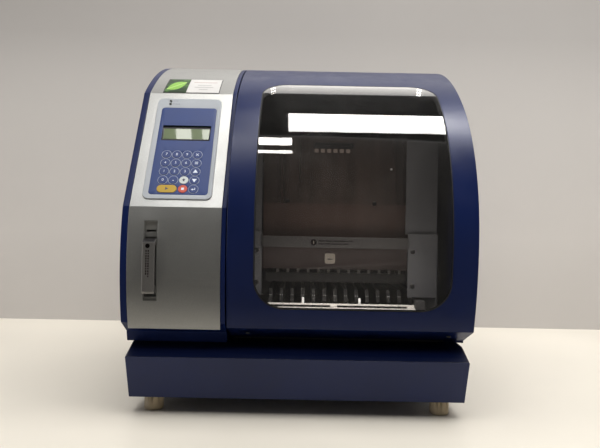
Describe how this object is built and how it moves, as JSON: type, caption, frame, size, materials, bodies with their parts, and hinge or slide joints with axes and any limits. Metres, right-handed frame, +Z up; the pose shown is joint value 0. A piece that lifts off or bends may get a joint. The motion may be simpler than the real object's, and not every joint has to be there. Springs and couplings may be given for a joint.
{
  "type": "automated nucleic acid extraction instrument",
  "caption": "Bench-top sample preparation instrument with a lift-up window door, a keypad column, a pipetting head and an empty cartridge rack.",
  "frame": {"origin": "on the bench under the middle of the overall box", "axes": "+Z up, the front with the door and keypad faces -Y, keypad column on the -X side"},
  "size_m": [0.5, 0.535, 0.573],
  "materials": {
    "blue_paint": "satin dark blue powder coat",
    "silver_paint": "silver metallic satin paint",
    "bezel_grey": "light grey textured moulding",
    "overlay_blue": "printed blue membrane",
    "key_blue": "blue key cap with pale legend",
    "key_white": "white key cap",
    "key_yellow": "yellow key cap",
    "key_red": "red key cap",
    "display": "character display with green-grey window",
    "board": "green circuit board",
    "black_plastic": "black moulding",
    "foot_ivory": "ivory rubber foot",
    "window_clear": "lightly tinted clear acrylic",
    "gasket": "black rubber",
    "frame_steel": "grey coated sheet",
    "bright_steel": "stainless steel",
    "aluminium": "clear anodised aluminium",
    "bronze_sheet": "dark bronze tinted acrylic sheet",
    "skirt_sheet": "smoke tinted acrylic sheet",
    "case_metal": "electronic module, average density of a filled case"
  },
  "bodies": {
    "chassis": {"plinth": "blue_paint", "feet": "foot_ivory", "column_shell": "blue_paint", "column_fascia": "silver_paint", "top_cover": "blue_paint", "right_side_panel": "blue_paint", "rear_panel": "blue_paint", "machine_screws": "bright_steel", "chamber_frame": "frame_steel", "worktable_deck": "frame_steel", "front_rail": "bright_steel", "cross_bar": "frame_steel", "bar_skirt": "skirt_sheet", "side_brackets": "frame_steel", "keypad_bezel": "bezel_grey", "keypad_overlay": "overlay_blue", "display_module": "display", "circuit_boards": "board", "card_slot_housing": "black_plastic", "power_supply": "case_metal", "fan_housing": "black_plastic", "power_inlet": "black_plastic", "travel_rails": "bright_steel", "travel_motor": "case_metal", "hinge_pins": "bright_steel"},
    "door": {"door_frame": "blue_paint", "door_window": "window_clear", "window_gasket": "gasket", "door_hinges": "bright_steel"},
    "guard": {"card_guard": "bright_steel"},
    "rocker": {"power_rocker": "black_plastic"},
    "fan": {"fan_rotor": "black_plastic"},
    "carriage": {"head_carriage": "aluminium", "head_cover": "bronze_sheet"},
    "syringe_head": {"syringe_block": "aluminium"},
    "pistons": {"piston_drive": "bright_steel"},
    "lift_drive": {"lift_screw": "bright_steel"},
    "travel_drive": {"travel_screw": "bright_steel"},
    "magnets": {"magnet_bar": "bright_steel"},
    "rack": {"cartridge_rack": "aluminium"},
    "cap_7": {"key_7": "key_blue"},
    "cap_8": {"key_8": "key_blue"},
    "cap_9": {"key_9": "key_blue"},
    "cap_escape": {"key_escape": "key_blue"},
    "cap_4": {"key_4": "key_blue"},
    "cap_5": {"key_5": "key_blue"},
    "cap_6": {"key_6": "key_blue"},
    "cap_mode": {"key_mode": "key_blue"},
    "cap_1": {"key_1": "key_blue"},
    "cap_2": {"key_2": "key_blue"},
    "cap_3": {"key_3": "key_blue"},
    "cap_up": {"key_up": "key_blue"},
    "cap_0": {"key_0": "key_blue"},
    "cap_point": {"key_point": "key_blue"},
    "cap_shift": {"key_shift": "key_white"},
    "cap_down": {"key_down": "key_blue"},
    "cap_start": {"key_start": "key_yellow"},
    "cap_stop": {"key_stop": "key_red"},
    "cap_enter": {"key_enter": "key_blue"}
  },
  "joints": [
    {"name": "card_guard_pivot", "type": "hinge", "parent": "chassis", "child": "guard", "pos_m": [-0.2082, -0.2525, 0.18], "axis": [1, 0, 0], "range_deg": [0, 75]},
    {"name": "door_hinge", "type": "hinge", "parent": "chassis", "child": "door", "pos_m": [0.0725, 0.127, 0.56], "axis": [-1, 0, 0], "range_deg": [0, 62]},
    {"name": "fan_spin", "type": "hinge", "parent": "chassis", "child": "fan", "pos_m": [0.11, 0.2505, 0.36], "axis": [0, 1, 0], "continuous": true},
    {"name": "head_lift", "type": "slide", "parent": "carriage", "child": "syringe_head", "axis": [0, 0, -1], "range_m": [0, 0.036]},
    {"name": "head_travel", "type": "slide", "parent": "chassis", "child": "carriage", "axis": [0, 1, 0], "range_m": [0, 0.09]},
    {"name": "lift_screw_spin", "type": "hinge", "parent": "carriage", "child": "lift_drive", "pos_m": [0.07, 0.007, 0.3], "axis": [0, 0, 1], "range_deg": [0, 1300]},
    {"name": "magnet_slide", "type": "slide", "parent": "carriage", "child": "magnets", "axis": [0, -1, 0], "range_m": [0, 0.004]},
    {"name": "piston_stroke", "type": "slide", "parent": "syringe_head", "child": "pistons", "axis": [0, 0, 1], "range_m": [0, 0.03]},
    {"name": "power_rocker_tilt", "type": "hinge", "parent": "chassis", "child": "rocker", "pos_m": [-0.034, 0.2605, 0.148], "axis": [1, 0, 0], "range_deg": [0, 11]},
    {"name": "rack_lift", "type": "slide", "parent": "chassis", "child": "rack", "axis": [0, 0, 1], "range_m": [0, 0.003]},
    {"name": "travel_screw_spin", "type": "hinge", "parent": "chassis", "child": "travel_drive", "pos_m": [0.198, 0.0015, 0.4], "axis": [0, 1, 0], "range_deg": [0, 1625]},
    {"name": "touch_key_7", "type": "slide", "parent": "chassis", "child": "cap_7", "axis": [0, 0.8621, -0.5068], "range_m": [0, 0.0004]},
    {"name": "touch_key_8", "type": "slide", "parent": "chassis", "child": "cap_8", "axis": [0, 0.8621, -0.5068], "range_m": [0, 0.0004]},
    {"name": "touch_key_9", "type": "slide", "parent": "chassis", "child": "cap_9", "axis": [0, 0.8621, -0.5068], "range_m": [0, 0.0004]},
    {"name": "touch_key_escape", "type": "slide", "parent": "chassis", "child": "cap_escape", "axis": [0, 0.8621, -0.5068], "range_m": [0, 0.0004]},
    {"name": "touch_key_4", "type": "slide", "parent": "chassis", "child": "cap_4", "axis": [0, 0.8621, -0.5068], "range_m": [0, 0.0004]},
    {"name": "touch_key_5", "type": "slide", "parent": "chassis", "child": "cap_5", "axis": [0, 0.8621, -0.5068], "range_m": [0, 0.0004]},
    {"name": "touch_key_6", "type": "slide", "parent": "chassis", "child": "cap_6", "axis": [0, 0.8621, -0.5068], "range_m": [0, 0.0004]},
    {"name": "touch_key_mode", "type": "slide", "parent": "chassis", "child": "cap_mode", "axis": [0, 0.8621, -0.5068], "range_m": [0, 0.0004]},
    {"name": "touch_key_1", "type": "slide", "parent": "chassis", "child": "cap_1", "axis": [0, 0.8621, -0.5068], "range_m": [0, 0.0004]},
    {"name": "touch_key_2", "type": "slide", "parent": "chassis", "child": "cap_2", "axis": [0, 0.8621, -0.5068], "range_m": [0, 0.0004]},
    {"name": "touch_key_3", "type": "slide", "parent": "chassis", "child": "cap_3", "axis": [0, 0.8621, -0.5068], "range_m": [0, 0.0004]},
    {"name": "touch_key_up", "type": "slide", "parent": "chassis", "child": "cap_up", "axis": [0, 0.8621, -0.5068], "range_m": [0, 0.0004]},
    {"name": "touch_key_0", "type": "slide", "parent": "chassis", "child": "cap_0", "axis": [0, 0.8621, -0.5068], "range_m": [0, 0.0004]},
    {"name": "touch_key_point", "type": "slide", "parent": "chassis", "child": "cap_point", "axis": [0, 0.8621, -0.5068], "range_m": [0, 0.0004]},
    {"name": "touch_key_shift", "type": "slide", "parent": "chassis", "child": "cap_shift", "axis": [0, 0.8621, -0.5068], "range_m": [0, 0.0004]},
    {"name": "touch_key_down", "type": "slide", "parent": "chassis", "child": "cap_down", "axis": [0, 0.8621, -0.5068], "range_m": [0, 0.0004]},
    {"name": "touch_key_start", "type": "slide", "parent": "chassis", "child": "cap_start", "axis": [0, 0.8621, -0.5068], "range_m": [0, 0.0004]},
    {"name": "touch_key_stop", "type": "slide", "parent": "chassis", "child": "cap_stop", "axis": [0, 0.8621, -0.5068], "range_m": [0, 0.0004]},
    {"name": "touch_key_enter", "type": "slide", "parent": "chassis", "child": "cap_enter", "axis": [0, 0.8621, -0.5068], "range_m": [0, 0.0004]}
  ],
  "couplings": [
    {"joint": "lift_screw_spin", "follows": "head_lift", "rad_per_m": 628.32},
    {"joint": "travel_screw_spin", "follows": "head_travel", "rad_per_m": 314.16}
  ]
}
